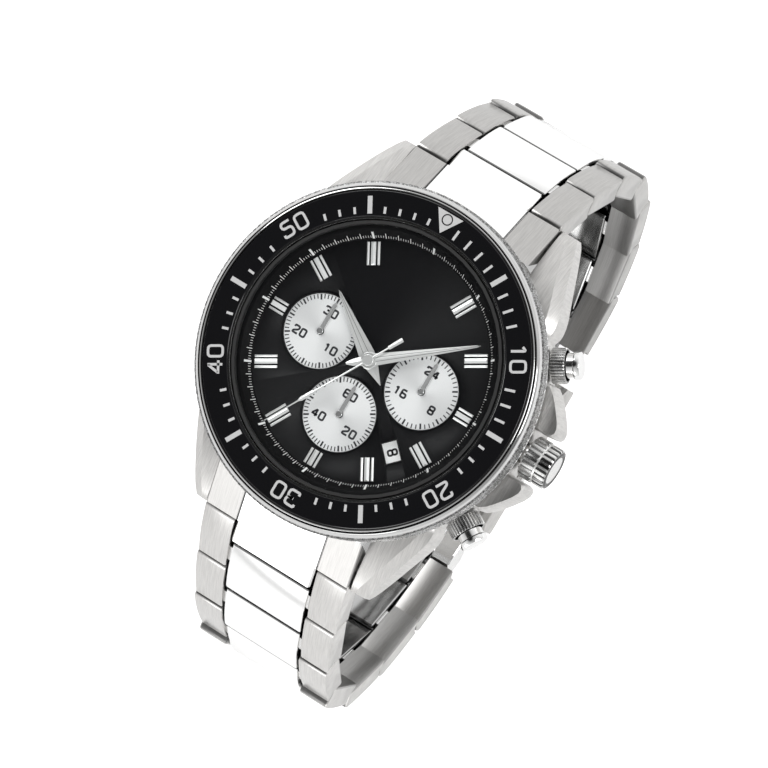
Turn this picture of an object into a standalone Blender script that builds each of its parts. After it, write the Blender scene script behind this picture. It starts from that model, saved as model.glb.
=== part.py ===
"""Chronograph wristwatch, standing on its clasp with the dial up. +Z up, +Y twelve o'clock, +X three."""
from math import asin, atan2, cos, degrees, hypot, pi, radians, sin

import bmesh
import bpy
from mathutils import Matrix, Vector

MM = 0.001

# Driving sizes, millimetres
CASE_R = 21.6
CASE_BOTTOM = -11.0
CASE_TOP = -3.9
LUG_GAP = 22.0
LUG_TIP_Y = 25.8
BEZEL_R = 22.2
INSERT_R = 20.9
DIAL_R = 16.0
DIAL_TOP = -2.5
CRYSTAL_R = 16.7
CROWN_R = 3.1
CROWN_TIP = 27.0
PUSHER_TIP = 27.2
PUSHER_ANGLE = 30.0
STEM_Z = -7.4
LINK_PITCH = 9.0
LINK_THICK = 3.4
LINK_W_HEAD = 21.5
LINK_W_CLASP = 18.4
CENTRE_W = 12.2
CENTRE_W_CLASP = 10.4
PIN_R = 0.6
PIVOT_Y = 26.2
PIVOT_Z = -10.3
PIVOT_HEIGHT = 3.0
CLASP_W = 19.4
CLASP_PLATE = 0.6
CLASP_Y0, CLASP_Y1 = -13.5, 8.7
FOLD_Y, FOLD_Z = 6.5, 1.85
HINGE_Y, HINGE_Z = -12.4, 1.95

# Directions of the links below the horizontal, degrees, head to clasp
DIRS_12 = (55, 66, 84, 106, 128, 145, 168)
DIRS_6 = (48, 56, 68, 96, 126, 144, 158)

# Clearances, millimetres
SLIP = 0.05
RUN = 0.25
SEAM = 0.25

SEGS = 48


def chain(dirs, side):
    """Pin centres (y, z) relative to the bezel plane, from the head down to the clasp."""
    y, z, pins = PIVOT_Y, PIVOT_Z, []
    for angle in dirs:
        pins.append((side * y, z))
        y += LINK_PITCH * cos(radians(angle))
        z -= LINK_PITCH * sin(radians(angle))
    return pins + [(side * y, z)]


CHAIN_12 = chain(DIRS_12, 1)
CHAIN_6 = chain(DIRS_6, -1)
HEAD = PIVOT_HEIGHT - min(CHAIN_12[-1][1], CHAIN_6[-1][1])


def collection(name):
    made = bpy.data.collections.new(name)
    bpy.context.scene.collection.children.link(made)
    return made


for old in list(bpy.data.objects):
    bpy.data.objects.remove(old, do_unlink=True)
WATCH = collection("chronograph_wristwatch")
CUTTERS = collection("cutters")


def raw(name, verts, faces, origin, home):
    """A mesh object from millimetre vertices, its origin at the given point."""
    off = Vector(origin)
    mesh = bpy.data.meshes.new(name)
    mesh.from_pydata([((Vector(v) - off) * MM) for v in verts], [], faces)
    bm = bmesh.new()
    bm.from_mesh(mesh)
    bmesh.ops.recalc_face_normals(bm, faces=bm.faces)
    bm.to_mesh(mesh)
    bm.free()
    mesh.shade_smooth()
    mesh.set_sharp_from_angle(angle=radians(28))
    obj = bpy.data.objects.new(name, mesh)
    obj.location = off * MM
    home.objects.link(obj)
    return obj


def part(name, shape, colour, metal=1.0, rough=0.3, origin=(0, 0, 0)):
    """A named piece of the watch with its own material."""
    verts, faces = shape
    obj = raw(name, verts, faces, origin, WATCH)
    mat = bpy.data.materials.new(name)
    mat.use_nodes = True
    shader = mat.node_tree.nodes["Principled BSDF"]
    shader.inputs["Base Color"].default_value = (*colour, 1.0)
    shader.inputs["Metallic"].default_value = metal
    shader.inputs["Roughness"].default_value = rough
    obj.data.materials.append(mat)
    return obj


def boolean(obj, shape, kind):
    verts, faces = shape
    tool = raw(f"{obj.name}_{kind.lower()}_{len(obj.modifiers)}", verts, faces, (0, 0, 0), CUTTERS)
    tool.hide_render = True
    tool.display_type = "WIRE"
    mod = obj.modifiers.new(kind.title(), "BOOLEAN")
    mod.operation = kind
    mod.solver = "EXACT"
    mod.object = tool


def cut(obj, *shapes):
    for shape in shapes:
        boolean(obj, shape, "DIFFERENCE")


def add(obj, *shapes):
    for shape in shapes:
        boolean(obj, shape, "UNION")


def joined(*shapes):
    """Several shapes that don't meet, as one."""
    verts, faces = [], []
    for v, f in shapes:
        base = len(verts)
        verts += v
        faces += [[base + i for i in face] for face in f]
    return verts, faces


def moved(shape, matrix):
    verts, faces = shape
    return [tuple(matrix @ Vector(v)) for v in verts], faces


def shift(shape, x=0.0, y=0.0, z=0.0):
    return moved(shape, Matrix.Translation((x, y, z)))


def turned(shape, angle, axis="Z", about=(0, 0, 0)):
    centre = Matrix.Translation(about)
    return moved(shape, centre @ Matrix.Rotation(radians(angle), 4, axis) @ centre.inverted())


def taken(bm):
    """The corners and faces of a bmesh, which is then freed."""
    bm.verts.index_update()
    shape = [tuple(v.co) for v in bm.verts], [[v.index for v in face.verts] for face in bm.faces]
    bm.free()
    return shape


def lathe(profile, segs=SEGS, ring=True, flutes=(), depth=0.0):
    """Spin (r, z) points about Z. A ring closes on itself; otherwise both ends run in to the axis."""
    bm = bmesh.new()
    points = list(profile) if ring else [(0.0, profile[0][1]), *profile, (0.0, profile[-1][1])]
    corners = [bm.verts.new((r, 0.0, z)) for r, z in points]
    edges = [bm.edges.new(pair) for pair in zip(corners, corners[1:])]
    if ring:
        edges.append(bm.edges.new((corners[-1], corners[0])))
    bmesh.ops.spin(bm, geom=corners + edges, axis=(0, 0, 1), cent=(0, 0, 0), steps=segs, angle=2 * pi)
    bmesh.ops.remove_doubles(bm, verts=bm.verts, dist=1e-4)
    bmesh.ops.recalc_face_normals(bm, faces=bm.faces)
    for k in flutes:
        r, z = profile[k]
        for v in bm.verts:
            step = round(atan2(v.co.y, v.co.x) / (2 * pi) * segs)
            if step % 2 and abs(hypot(v.co.x, v.co.y) - r) < 1e-3 and abs(v.co.z - z) < 1e-3:
                v.co.x *= 1 - depth / r
                v.co.y *= 1 - depth / r
    return taken(bm)


def disc(r, z0, z1, segs=48, edge=0.0):
    """A cylinder about Z, with its rims eased if asked."""
    bm = bmesh.new()
    place = Matrix.Translation((0, 0, (z0 + z1) / 2))
    bmesh.ops.create_cone(bm, cap_ends=True, segments=segs, radius1=r, radius2=r, depth=z1 - z0, matrix=place)
    if edge:
        rims = [e for e in bm.edges if abs(e.verts[0].co.z - e.verts[1].co.z) < 1e-6]
        bmesh.ops.bevel(bm, geom=rims, offset=edge, segments=1, affect="EDGES")
    return taken(bm)


def rings(r0, r1, z0, z1, segs=SEGS):
    return lathe([(r0, z0), (r1, z0), (r1, z1), (r0, z1)], segs)


def along_x(shape, angle=0.0, z=STEM_Z):
    """A shape turned about Z laid out along the radial direction at the stem's height."""
    return shift(turned(turned(shape, 90, "Y"), angle, "Z"), z=HEAD + z)


def box(x0, x1, y0, y1, z0, z1):
    bm = bmesh.new()
    size = Matrix.Diagonal((x1 - x0, y1 - y0, z1 - z0, 1))
    bmesh.ops.create_cube(bm, size=1, matrix=Matrix.Translation(((x0 + x1) / 2, (y0 + y1) / 2, (z0 + z1) / 2)) @ size)
    return taken(bm)


def loft(sections):
    """Skin closed sections that all have the same number of points."""
    n = len(sections[0])
    verts = [p for s in sections for p in s]
    faces = [list(range(n)), [(len(sections) - 1) * n + i for i in range(n)]]
    for k in range(len(sections) - 1):
        for i in range(n):
            j = (i + 1) % n
            faces.append([k * n + i, k * n + j, (k + 1) * n + j, (k + 1) * n + i])
    return verts, faces


def slab(plan, z0, z1, edge=0.0):
    """A flat outline (x, y) given thickness, with an optional chamfer round its top."""
    if not edge:
        return loft([[(x, y, z) for x, y in plan] for z in (z0, z1)])
    cx, cy = sum(p[0] for p in plan) / len(plan), sum(p[1] for p in plan) / len(plan)
    top = []
    for x, y in plan:
        d = hypot(x - cx, y - cy)
        top.append((cx + (x - cx) * (1 - edge / d), cy + (y - cy) * (1 - edge / d), z1))
    return loft([[(x, y, z0) for x, y in plan], [(x, y, z1 - edge) for x, y in plan], top])


def arc(cx, cz, r, a0, a1, steps):
    return [(cx + r * cos(radians(a0 + (a1 - a0) * i / steps)), cz + r * sin(radians(a0 + (a1 - a0) * i / steps)))
            for i in range(steps + 1)]


def bar(profile, x0, x1, edge=0.2, taper=0.0):
    """A side outline (u, v) made solid between x0 and x1, its side edges eased; taper narrows x1 along u."""
    us, vs = [p[0] for p in profile], [p[1] for p in profile]
    cu, cv = (max(us) + min(us)) / 2, (max(vs) + min(vs)) / 2
    su, sv = 1 - 2 * edge / (max(us) - min(us)), 1 - 2 * edge / (max(vs) - min(vs))
    small = [(cu + (u - cu) * su, cv + (v - cv) * sv) for u, v in profile]
    way = 1 if x1 > x0 else -1

    def row(points, x, slope):
        return [(x - way * slope * u, u, v) for u, v in points]

    return loft([row(small, x0, 0), row(profile, x0 + way * edge, 0),
                 row(profile, x1 - way * edge, taper), row(small, x1, taper)])


def placed(shape, pin, direction, side):
    """Put a shape drawn in link axes (x, u along the link, v outward) on its pin."""
    a = radians(direction)
    du, dv = (side * cos(a), -sin(a)), (side * sin(a), cos(a))
    y0, z0 = pin
    verts, faces = shape
    return [(x, y0 + u * du[0] + v * dv[0], HEAD + z0 + u * du[1] + v * dv[1]) for x, u, v in verts], faces


def rod(pin, r, x0, x1, segs=8):
    """A cylinder along X through (y, z) given relative to the bezel plane."""
    shape = turned(lathe([(r, x0), (r, x1)], segs, ring=False), 90, "Y")
    return shift(shape, y=pin[0], z=HEAD + pin[1])


# Case ---------------------------------------------------------------------------------------------
STEEL = (0.72, 0.71, 0.69)

case = part("case_middle", shift(lathe([
    (19.4, CASE_BOTTOM), (CASE_R - 0.7, CASE_BOTTOM), (CASE_R, CASE_BOTTOM + 0.7), (CASE_R, CASE_TOP - 0.3),
    (CASE_R - 0.3, CASE_TOP), (19.0, CASE_TOP), (19.0, -1.2)], ring=False), z=HEAD), STEEL)


def lug(side_x, side_y):
    rows = [(8.5, 19.3, -10.9, -4.0), (12.5, 17.1, -10.9, -4.1), (14.3, 17.3, -10.9, -4.3),
            (16.2, 17.0, -11.0, -4.7), (19.5, 15.7, -11.3, -5.6), (22.6, 14.4, -11.9, -6.8), (24.8, 13.4, -12.3, -7.9),
            (LUG_TIP_Y, 12.9, -12.2, -8.8)]
    inner = LUG_GAP / 2
    sections = []
    for y, outer, low, high in rows:
        bevel = min(1.5, (outer - inner) * 0.62)
        sections.append([(side_x * x, side_y * y, HEAD + z) for x, z in (
            (inner, low), (outer - 0.3, low), (outer, low + 0.3), (outer, high - bevel * 0.8),
            (outer - bevel, high), (inner, high))])
    return loft(sections)


GUARD = [(17.4, 3.45), (25.2, 3.45), (25.9, 3.9), (25.8, 4.7), (25.2, 5.5), (24.0, 6.6), (22.8, 7.6),
         (21.7, 8.4), (20.3, 9.0), (17.4, 9.0)]
add(case, joined(lug(1, 1), lug(-1, 1), lug(1, -1), lug(-1, -1)))
for s in (1, -1):
    add(case, slab([(x, s * y) for x, y in GUARD], HEAD - 9.9, HEAD - 4.5, edge=0.5))
cut(case, shift(lathe([(17.2, CASE_BOTTOM - 1), (17.2, 0.5)], ring=False), z=HEAD))
cut(case, shift(rings(17.9, 18.9, CASE_BOTTOM - 1, CASE_BOTTOM + 0.5), z=HEAD))
RADIALS = (0.0, PUSHER_ANGLE, -PUSHER_ANGLE)
cut(case, joined(*[along_x(lathe([(1.5, 14.0), (1.5, 24.0)], 24, ring=False), a) for a in RADIALS]))
BAR_Y, BAR_Z = 22.9, -8.2
BAR_R = 0.55
cut(case, joined(*[rod((s * BAR_Y, BAR_Z), BAR_R + RUN, x - 0.75, x + 0.75)
                   for s in (1, -1) for x in (-LUG_GAP / 2, LUG_GAP / 2)]))

bezel = part("bezel", shift(lathe([
    (19.05 + RUN, CASE_TOP + RUN), (BEZEL_R - 0.2, CASE_TOP + RUN), (BEZEL_R, CASE_TOP + 0.45),
    (BEZEL_R, -1.0), (BEZEL_R - 0.15, -0.85), (INSERT_R + 0.35, 0.0), (INSERT_R + SLIP, 0.0),
    (INSERT_R + SLIP, -0.45), (17.6 - SLIP, -0.45), (17.6 - SLIP, 0.0), (17.3, 0.0),
    (17.3, -1.0), (19.05 + RUN, -1.0)], 72, flutes=(2, 3), depth=0.22), z=HEAD), STEEL)
part("bezel_insert", shift(rings(17.6, INSERT_R, -0.43, -0.02, 72), z=HEAD), (0.01, 0.01, 0.012), 0.0, 0.12)
part("crystal", shift(lathe([
    (CRYSTAL_R, -0.9), (CRYSTAL_R, 0.05), (CRYSTAL_R - 0.3, 0.25), (11.0, 0.36), (5.0, 0.42)], ring=False), z=HEAD),
    (0.95, 0.97, 1.0), 0.0, 0.02)
part("crystal_gasket", shift(rings(CRYSTAL_R + SLIP, 17.15, -0.93, -0.1, 48), z=HEAD), (0.02, 0.02, 0.02), 0.0, 0.6)
part("flange_ring", shift(lathe([
    (15.15, DIAL_TOP + 0.02), (17.1, DIAL_TOP + 0.02), (17.1, -0.98), (16.2, -0.98)]), z=HEAD),
    (0.012, 0.012, 0.014), 0.0, 0.35)

# Dial ---------------------------------------------------------------------------------------------
SUB_R = 4.7
SUB_AT = 7.55
SUBS = {"3": (SUB_AT, 0.0), "6": (0.0, -SUB_AT), "9": (-SUB_AT, 0.0)}
DATE_AT, DATE_TURN = 11.6, -45.0

dial = part("dial", shift(disc(DIAL_R, DIAL_TOP - 0.4, DIAL_TOP, SEGS), z=HEAD), (0.01, 0.01, 0.012), 0.2, 0.3)
for hour in range(1, 12):
    start = 13.3 if hour in (3, 6, 9) else 12.0
    bars = joined(box(start, 14.8, -0.42, 0.42, DIAL_TOP - 0.1, DIAL_TOP + 0.28),
                  box(start, 14.8, 0.6, 0.78, DIAL_TOP - 0.1, DIAL_TOP + 0.2),
                  box(start, 14.8, -0.78, -0.6, DIAL_TOP - 0.1, DIAL_TOP + 0.2))
    add(dial, shift(turned(bars, 90 - 30 * hour), z=HEAD))
cut(dial, shift(joined(disc(1.25, -3.5, -2.0, 24),
                       *[shift(disc(SUB_R + SLIP, -3.5, -2.0, 40), *at) for at in SUBS.values()]), z=HEAD))
cut(dial, shift(turned(box(DATE_AT - 1.35, DATE_AT + 1.35, -1.0, 1.0, -3.5, -2.0), DATE_TURN), z=HEAD))
for label, at in SUBS.items():
    sub = part(f"subdial_{label}", shift(disc(SUB_R, DIAL_TOP - 0.4, DIAL_TOP - 0.06, 40), *at, HEAD),
               (0.85, 0.85, 0.84), 0.3, 0.35)
    cut(sub, shift(disc(0.5, -3.5, -2.0, 20), *at, HEAD))
part("date_wheel", shift(rings(9.9, 13.4, -3.3, -3.0, 36), z=HEAD), (0.9, 0.9, 0.88), 0.0, 0.5)


def hand(name, length, base, tip, tail, z, hole, tube, angle, thick=0.15):
    """A dauphine hand on a hub, its tube or arbor reaching down through the dial."""
    hub = 1.15 if hole else 0.75
    plan = [(0.0, length), (tip / 2, length * 0.94), (base / 2, hub * 0.9), (tip * 0.6, -tail), (-tip * 0.6, -tail),
            (-base / 2, hub * 0.9), (-tip / 2, length * 0.94)]
    made = part(name, shift(turned(slab(plan, z, z + thick), -angle), z=HEAD), STEEL, 1.0, 0.15)
    add(made, shift(disc(hub, z, z + thick + 0.04, 28), z=HEAD))
    add(made, shift(disc(tube, -3.7, z + 0.05, 20), z=HEAD))
    if hole:
        cut(made, shift(disc(hole, -4.0, 0.0, 20), z=HEAD))
    return made


hand("hour_hand", 9.7, 2.0, 0.5, 3.3, -2.1, 0.85, 1.05, 304.5)
hand("minute_hand", 14.2, 1.5, 0.35, 2.7, -1.72, 0.45, 0.65, 52.9)
hand("chrono_hand", 15.0, 0.5, 0.24, 5.0, -1.35, 0.0, 0.28, 210.2, 0.12)
for label, at in SUBS.items():
    plan = [(0.0, 4.2), (0.17, 3.9), (0.2, -1.1), (-0.2, -1.1), (-0.17, 3.9)]
    sub = part(f"subhand_{label}", shift(slab(plan, -2.44, -2.32), *at, HEAD), STEEL, 1.0, 0.2,
               origin=(*at, HEAD - 2.4))
    add(sub, shift(disc(0.45, -2.45, -2.28, 16), *at, HEAD), shift(disc(0.22, -3.7, -2.35, 12), *at, HEAD))

# Movement -----------------------------------------------------------------------------------------
plate = part("main_plate", shift(disc(15.8, -4.9, -3.5, 40), z=HEAD), (0.75, 0.62, 0.35), 1.0, 0.35)
cut(plate, shift(joined(disc(1.35, -5.5, -3.0, 20), *[shift(disc(0.5, -5.5, -3.0, 14), *at)
                                                     for at in SUBS.values()]), z=HEAD))
holder = part("movement_ring", shift(rings(15.9, 17.1, -10.4, -2.95, 40), z=HEAD), (0.8, 0.8, 0.78), 0.0, 0.5)
cut(holder, joined(*[along_x(lathe([(1.7, 14.0), (1.7, 20.0)], 20, ring=False), a) for a in RADIALS]))
board = part("circuit_board", shift(disc(15.4, -5.6, -4.95, 48), z=HEAD), (0.02, 0.16, 0.08), 0.0, 0.4)
cut(board, shift(joined(disc(1.35, -7.0, -4.5, 20)), z=HEAD))
part("battery", shift(shift(disc(4.75, -7.9, -5.65, 40, edge=0.2), 3.6, 8.8), z=HEAD), STEEL, 1.0, 0.3)
part("coil_block", shift(box(-12.0, -3.6, 3.0, 6.6, -7.9, -5.65), z=HEAD), (0.6, 0.28, 0.08), 0.6, 0.4)
part("stepper_motor", shift(shift(disc(2.3, -8.0, -5.65, 28), -6.5, -7.0), z=HEAD), STEEL, 1.0, 0.3)
bridge = part("train_bridge", shift(disc(15.0, -9.6, -8.7, 48), z=HEAD), (0.75, 0.62, 0.35), 1.0, 0.35)
cut(bridge, shift(box(-18, 18, -3.6, 18, -11, -8), z=HEAD))
add(bridge, shift(joined(*[shift(disc(0.9, -9.0, -5.65, 14), x, y)
                           for x, y in ((-11.5, -6.0), (11.5, -6.0), (0.0, -13.0))]), z=HEAD))

# Crown, stem and pushers --------------------------------------------------------------------------
tube = part("crown_tube", along_x(rings(0.95, 1.45, 17.5, 22.2, 24)), STEEL)
part("clutch", along_x(rings(0.62, 1.5, 9.4, 12.2, 24)), (0.75, 0.62, 0.35), 1.0, 0.3,
     origin=(10.8, 0, HEAD + STEM_Z))
STEM_END = 23.0
stem = part("stem", along_x(lathe([(0.55, 9.0), (0.55, STEM_END)], 20, ring=False)), STEEL, origin=(20, 0, HEAD + STEM_Z))
crown = part("crown", along_x(lathe([
    (1.9, 22.6), (CROWN_R - 0.15, 22.6), (CROWN_R, 22.8), (CROWN_R, 24.7), (CROWN_R - 0.25, 24.75),
    (CROWN_R - 0.25, 24.95), (CROWN_R - 0.1, 25.0), (CROWN_R - 0.1, 26.6), (CROWN_R - 0.5, CROWN_TIP)],
    36, ring=False, flutes=(1, 2, 3, 6, 7), depth=0.28)), STEEL, origin=(24, 0, HEAD + STEM_Z))
cut(crown, along_x(lathe([(0.6, 22.0), (0.6, STEM_END + SLIP)], 20, ring=False)))

for label, angle in (("2", PUSHER_ANGLE), ("4", -PUSHER_ANGLE)):
    c, s = cos(radians(angle)), sin(radians(angle))
    at = (22 * c, 22 * s, HEAD + STEM_Z)
    part(f"pusher_{label}", along_x(lathe([
        (0.8, 16.6), (0.8, 24.6), (1.75, 24.6), (1.75, 26.0), (2.05, 26.1), (2.05, PUSHER_TIP - 0.3),
        (1.75, PUSHER_TIP)], 24, ring=False), angle), STEEL, origin=at)
    part(f"pusher_collar_{label}", along_x(lathe([
        (1.1, 21.8), (2.15, 21.8), (2.4, 22.1), (2.4, 24.5), (2.25, 24.8), (2.05, 24.8), (2.05, 23.9),
        (1.1, 23.9)],
        36, flutes=(2, 3), depth=0.2), angle), STEEL, origin=at)
    turns, per, wire, coil_r = 3, 9, 0.16, 1.25
    rows = []
    for i in range(turns * per + 1):
        t = i / per
        a = 2 * pi * t
        centre = Vector((17.35 + t * 1.04, coil_r * cos(a), coil_r * sin(a)))
        out = Vector((0, cos(a), sin(a)))
        rows.append([tuple(centre + wire * (cos(b) * out + sin(b) * Vector((1, 0, 0))))
                     for b in (0, pi / 2, pi, 3 * pi / 2)])
    part(f"pusher_spring_{label}", shift(turned(loft(rows), angle), z=HEAD + STEM_Z), STEEL, origin=at)

# Case back ----------------------------------------------------------------------------------------
part("case_back", shift(lathe([
    (16.8, -12.2), (18.6, -12.2), (19.3, -11.7), (19.3, CASE_BOTTOM - SLIP), (17.1, CASE_BOTTOM - SLIP),
    (17.1, -10.45), (16.2, -10.45), (16.2, -11.4), (4.0, -11.4)], ring=False), z=HEAD), STEEL)
back = bpy.data.objects["case_back"]
cut(back, shift(disc(15.6, -13.0, -12.0, 64), z=HEAD))
part("back_gasket", shift(rings(18.0, 18.8, CASE_BOTTOM - 0.04, CASE_BOTTOM + 0.42, 36), z=HEAD),
     (0.02, 0.02, 0.02), 0.0, 0.6)

# Bracelet -----------------------------------------------------------------------------------------
ROUND = LINK_PITCH / 4
HALF_T = LINK_THICK / 2
CORNER = degrees(asin(HALF_T / ROUND))
HOLLOW = degrees(asin(HALF_T / (ROUND + SEAM)))


def side_outline(u_back, u_front, round_back):
    """Side view of a link piece: one end round about its pin, the other hollowed to clear its neighbour."""
    if round_back:
        points = arc(u_back, 0, ROUND, 180 - CORNER, 180 + CORNER, 4)
        return points + arc(u_front, 0, ROUND + SEAM, 180 + HOLLOW, 180 - HOLLOW, 2)
    points = arc(u_back, 0, ROUND + SEAM, -HOLLOW, HOLLOW, 2)
    return points + arc(u_front, 0, ROUND, CORNER, -CORNER, 4)


OUTER = side_outline(0.0, LINK_PITCH, True)
INNER = side_outline(0.0, LINK_PITCH, False)
GROOVE = 0.15


def link(name, pin, direction, side, index, count):
    """An outer pair and the centre piece ahead of it, with the pin the next link turns on."""
    narrow = (LINK_W_HEAD - LINK_W_CLASP) / count / 2
    half = LINK_W_HEAD / 2 - narrow * index
    centre = (CENTRE_W - (CENTRE_W - CENTRE_W_CLASP) * index / count) / 2
    ahead = (CENTRE_W - (CENTRE_W - CENTRE_W_CLASP) * (index + 1) / count) / 2
    mid = LINK_PITCH / 2
    web = ROUND - SEAM - 0.75
    inner = centre + GROOVE
    bars = joined(*[bar(OUTER, s * inner, s * half, 0.22, narrow / LINK_PITCH) for s in (1, -1)])
    made = part(name, placed(bars, pin, direction, side), STEEL, origin=(0, pin[0], HEAD + pin[1]))
    middle = joined(bar(INNER, -ahead + GROOVE, ahead - GROOVE, 0.22))
    add(made, placed(middle, pin, direction, side))
    add(made, placed(box(-half + 1.2, half - 1.2, mid - web, mid + web, -HALF_T + 0.45, HALF_T - 0.45),
                     pin, direction, side))
    following = (pin[0] + side * LINK_PITCH * cos(radians(direction)), pin[1] - LINK_PITCH * sin(radians(direction)))
    add(made, rod(following, PIN_R, -ahead - 2.2, ahead + 2.2))
    cut(made, joined(*[rod(pin, PIN_R + RUN, *sorted((s * (centre - 0.4), s * (centre + 2.6)))) for s in (1, -1)]))
    return made


for side, dirs, pins, label in ((1, DIRS_12, CHAIN_12, "12"), (-1, DIRS_6, CHAIN_6, "6")):
    for k, direction in enumerate(dirs):
        link(f"link_{label}_{k + 1}", pins[k], direction, side, k, len(dirs))

    # End link between the lugs: wings, a centre piece and the pin the first link turns on
    lean = 36.0
    half, centre = LUG_GAP / 2 - 0.2, CENTRE_W / 2
    pin = pins[0]
    c, s = cos(radians(lean)), sin(radians(lean))
    outer = arc(0, 0, ROUND + SEAM, 180 - HOLLOW, 180 + HOLLOW, 6) + [(-5.5, -HALF_T + 0.3), (-9.0, HALF_T)]
    tongue = [(-9.5, HALF_T + 0.04)] + arc(0, 0, ROUND, CORNER, -CORNER, 6) + [(-3.1, -HALF_T - 0.04),
                                                                          (-5.7, -HALF_T + 0.2)]
    end = part(f"end_link_{label}", placed(bar(outer, -half, half, 0.2), pin, lean, side), STEEL)
    add(end, placed(bar(tongue, -centre + GROOVE, centre - GROOVE, 0.22), pin, lean, side))
    add(end, rod(pin, PIN_R, -centre - 2.2, centre + 2.2))
    cut(end, shift(disc(CASE_R + RUN, -20, 5, SEGS), z=HEAD))
    for x in (-1, 1):
        cut(end, placed(box(*sorted((x * centre, x * (centre - GROOVE))), -12, 2.5, HALF_T - 0.4, HALF_T + 1),
                        pin, lean, side))
    cut(end, rod((side * BAR_Y, BAR_Z), BAR_R + RUN, -half - 1, half + 1))
    part(f"spring_bar_{label}", rod((side * BAR_Y, BAR_Z), BAR_R, -LUG_GAP / 2 - 0.6, LUG_GAP / 2 + 0.6), STEEL)

# Clasp --------------------------------------------------------------------------------------------
clasp_half = CLASP_W / 2
wall = [(CLASP_Y0, 0.3), (CLASP_Y0, 3.4), (CLASP_Y0 + 1.2, 4.6), (CLASP_Y1 - 1.4, 4.6), (CLASP_Y1, 3.2),
        (CLASP_Y1, 0.3)]
cover = part("clasp_cover", loft([
    [(x, CLASP_Y0 + 0.5, 0.0), (x, CLASP_Y1 - 0.5, 0.0), (x, CLASP_Y1, 0.25), (x, CLASP_Y1, CLASP_PLATE),
     (x, CLASP_Y0, CLASP_PLATE), (x, CLASP_Y0, 0.25)] for x in (-clasp_half, clasp_half)]), STEEL,
    origin=(0, HINGE_Y, HINGE_Z))
add(cover, joined(*[bar(wall, *sorted((s * clasp_half, s * (clasp_half - 1.3))), 0.15) for s in (1, -1)]))
ear = arc(HINGE_Y, HINGE_Z, 1.1, 0, 180, 8) + [(HINGE_Y - 1.1, 0.3), (HINGE_Y + 1.1, 0.3)]
add(cover, joined(*[bar(ear, *sorted((s * 3.1, s * 5.2)), 0.08) for s in (1, -1)]))
cut(cover, joined(*[shift(turned(lathe([(PIN_R + RUN, a), (PIN_R + RUN, a + 2.0)], 16, ring=False), 90, "Y"),
                          y=HINGE_Y, z=HINGE_Z) for a in (2.9, -4.9)]))
BUTTON_Y, BUTTON_Z = -4.0, 2.5
cut(cover, box(-clasp_half - 1, clasp_half + 1, BUTTON_Y - 2.3, BUTTON_Y + 2.3, BUTTON_Z - 1.1, BUTTON_Z + 1.1))


def rod_abs(y, z, r, x0, x1, segs=16):
    return shift(turned(lathe([(r, x0), (r, x1)], segs, ring=False), 90, "Y"), y=y, z=z)


for label, s in (("right", 1), ("left", -1)):
    button = part(f"clasp_button_{label}", box(*sorted((s * (clasp_half - 1.5), s * (clasp_half + 0.7))),
                  BUTTON_Y - 2.05, BUTTON_Y + 2.05, BUTTON_Z - 0.85, BUTTON_Z + 0.85), STEEL,
                  origin=(s * clasp_half, BUTTON_Y, BUTTON_Z))
    add(button, box(*sorted((s * (clasp_half - 2.4), s * (clasp_half - 1.4))), BUTTON_Y - 2.9, BUTTON_Y + 2.9,
                    BUTTON_Z - 0.85, BUTTON_Z + 0.85))

# Blade hinged to the cover, folded flat inside it
blade = part("blade_fold", box(-2.8, 2.8, HINGE_Y, FOLD_Y, 1.5, 2.3), STEEL, origin=(0, FOLD_Y, FOLD_Z))
add(blade, rod_abs(HINGE_Y, HINGE_Z, 1.1, -2.74, 2.74), rod_abs(FOLD_Y, FOLD_Z, 1.1, -2.74, 2.74))
add(blade, rod_abs(HINGE_Y, HINGE_Z, PIN_R, -4.6, 4.6), rod_abs(FOLD_Y, FOLD_Z, PIN_R, -4.6, 4.6))

# Blade that ends the six o'clock side of the bracelet
last = CHAIN_6[-1]
end_y, end_z = last[0], HEAD + last[1]
end_centre = CENTRE_W_CLASP / 2
blade_end = part("blade_end", box(-6.4, 6.4, end_y + 3.3, FOLD_Y - 1.6, 3.5, 4.3), STEEL, origin=(0, end_y, end_z))
knuckle = arc(FOLD_Y, FOLD_Z, 1.1, 180, 360, 8) + [(FOLD_Y + 1.1, 3.9), (FOLD_Y - 1.1, 3.9)]
add(blade_end, joined(*[bar(knuckle, *sorted((s * 3.1, s * 5.2)), 0.08) for s in (1, -1)]))
add(blade_end, box(-5.25, 5.25, FOLD_Y - 2.2, FOLD_Y + 1.15, 3.45, 4.2))
ears = arc(end_y, end_z, ROUND, 60, 320, 14) + [(end_y + 4.2, 3.3), (end_y + 4.2, 4.2)]
add(blade_end, joined(*[bar(ears, *sorted((s * (end_centre + GROOVE), s * (end_centre + 3.0))), 0.15)
                        for s in (1, -1)]))
cut(blade_end, joined(*[rod_abs(end_y, end_z, PIN_R + RUN, *sorted((s * (end_centre - 0.3), s * (end_centre + 2.5))))
                        for s in (1, -1)]))
cut(blade_end, joined(*[rod_abs(FOLD_Y, FOLD_Z, PIN_R + RUN, *sorted((s * 2.9, s * 4.9))) for s in (1, -1)]))
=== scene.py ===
from math import cos, pi, radians, sin

import bmesh
import bpy
from bpy.props import FloatProperty, FloatVectorProperty, IntProperty, PointerProperty
from mathutils import Matrix, Vector


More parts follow.
